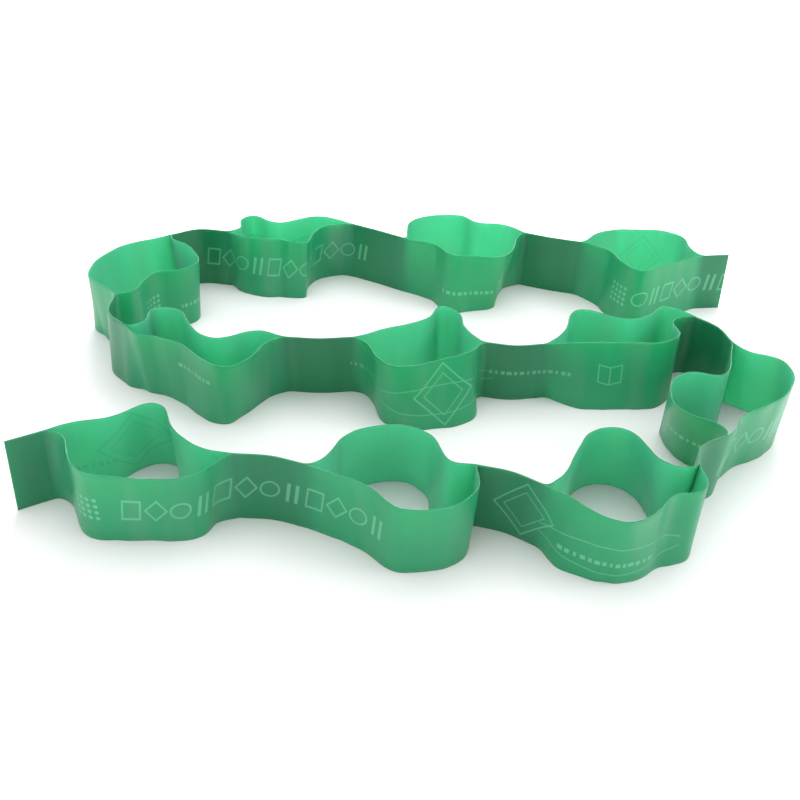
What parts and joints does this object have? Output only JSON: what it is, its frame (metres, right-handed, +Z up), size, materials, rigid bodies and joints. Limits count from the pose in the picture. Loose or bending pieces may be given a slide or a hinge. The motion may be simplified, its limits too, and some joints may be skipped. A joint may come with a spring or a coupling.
{
  "type": "resistance band",
  "caption": "Flat elastomer exercise band of two strips bonded face to face at short webs, so it opens into a chain of hand and foot loops, standing on edge in folded rows.",
  "frame": {"origin": "centre of the plan box, on the surface that the band's lower edge stands on", "axes": "+X along the rows, to the right; +Y towards the back row; +Z up, across the strips' width"},
  "size_m": [0.4998, 0.3942, 0.05],
  "materials": {
    "band_strip": "satin green elastomer, slightly translucent",
    "bonded_web": "satin green elastomer, two layers bonded"
  },
  "bodies": {
    "left_tab": {"end_tab_left": "bonded_web"},
    "right_tab": {"end_tab_right": "bonded_web"},
    "loop_01": {"loop_01_strip_a": "band_strip", "loop_01_strip_b": "band_strip", "loop_01_tab_root": "bonded_web", "loop_01_web_to_02": "bonded_web"},
    "loop_02": {"loop_02_strip_a": "band_strip", "loop_02_strip_b": "band_strip", "loop_02_web_to_01": "bonded_web", "loop_02_web_to_03": "bonded_web"},
    "loop_03": {"loop_03_strip_a": "band_strip", "loop_03_strip_b": "band_strip", "loop_03_web_to_02": "bonded_web", "loop_03_web_to_04": "bonded_web"},
    "loop_04": {"loop_04_strip_a": "band_strip", "loop_04_strip_b": "band_strip", "loop_04_web_to_03": "bonded_web", "loop_04_web_to_05": "bonded_web"},
    "loop_05": {"loop_05_strip_a": "band_strip", "loop_05_strip_b": "band_strip", "loop_05_web_to_04": "bonded_web", "loop_05_web_to_06": "bonded_web"},
    "loop_06": {"loop_06_strip_a": "band_strip", "loop_06_strip_b": "band_strip", "loop_06_web_to_05": "bonded_web", "loop_06_web_to_07": "bonded_web"},
    "loop_07": {"loop_07_strip_a": "band_strip", "loop_07_strip_b": "band_strip", "loop_07_web_to_06": "bonded_web", "loop_07_web_to_08": "bonded_web"},
    "loop_08": {"loop_08_strip_a": "band_strip", "loop_08_strip_b": "band_strip", "loop_08_web_to_07": "bonded_web", "loop_08_web_to_09": "bonded_web"},
    "loop_09": {"loop_09_strip_a": "band_strip", "loop_09_strip_b": "band_strip", "loop_09_web_to_08": "bonded_web", "loop_09_web_to_10": "bonded_web"},
    "loop_10": {"loop_10_strip_a": "band_strip", "loop_10_strip_b": "band_strip", "loop_10_web_to_09": "bonded_web", "loop_10_web_to_11": "bonded_web"},
    "loop_11": {"loop_11_strip_a": "band_strip", "loop_11_strip_b": "band_strip", "loop_11_tab_root": "bonded_web", "loop_11_web_to_10": "bonded_web"}
  },
  "joints": [
    {"name": "web_05_06_bend", "type": "hinge", "parent": "loop_06", "child": "loop_05", "pos_m": [0.06355, -0.02162, 0.025], "axis": [0, 0, 1], "range_deg": [-2, 40]},
    {"name": "web_04_05_bend", "type": "hinge", "parent": "loop_05", "child": "loop_04", "pos_m": [0.20855, 0.01138, 0.025], "axis": [0, 0, 1], "range_deg": [-3, 90]},
    {"name": "web_03_04_bend", "type": "hinge", "parent": "loop_04", "child": "loop_03", "pos_m": [0.16155, -0.12962, 0.025], "axis": [0, 0, 1], "range_deg": [-2, 62]},
    {"name": "web_02_03_bend", "type": "hinge", "parent": "loop_03", "child": "loop_02", "pos_m": [0.04955, -0.15762, 0.025], "axis": [0, 0, 1], "range_deg": [-3, 85]},
    {"name": "web_01_02_bend", "type": "hinge", "parent": "loop_02", "child": "loop_01", "pos_m": [-0.08545, -0.14962, 0.025], "axis": [0, 0, 1], "range_deg": [-4, 85]},
    {"name": "left_tab_bend", "type": "hinge", "parent": "loop_01", "child": "left_tab", "pos_m": [-0.22269, -0.13527, 0.025], "axis": [0, 0, 1], "range_deg": [-85, 85]},
    {"name": "web_06_07_bend", "type": "hinge", "parent": "loop_06", "child": "loop_07", "pos_m": [-0.06945, -0.01962, 0.025], "axis": [0, 0, 1], "range_deg": [-3, 35]},
    {"name": "web_07_08_bend", "type": "hinge", "parent": "loop_07", "child": "loop_08", "pos_m": [-0.21945, 0.00938, 0.025], "axis": [0, 0, 1], "range_deg": [-2, 90]},
    {"name": "web_08_09_bend", "type": "hinge", "parent": "loop_08", "child": "loop_09", "pos_m": [-0.18345, 0.15138, 0.025], "axis": [0, 0, 1], "range_deg": [-3, 90]},
    {"name": "web_09_10_bend", "type": "hinge", "parent": "loop_09", "child": "loop_10", "pos_m": [-0.03445, 0.15838, 0.025], "axis": [0, 0, 1], "range_deg": [-2, 85]},
    {"name": "web_10_11_bend", "type": "hinge", "parent": "loop_10", "child": "loop_11", "pos_m": [0.10855, 0.15438, 0.025], "axis": [0, 0, 1], "range_deg": [-10, 85]},
    {"name": "right_tab_bend", "type": "hinge", "parent": "loop_11", "child": "right_tab", "pos_m": [0.2345, 0.12908, 0.025], "axis": [0, 0, 1], "range_deg": [-85, 85]}
  ]
}
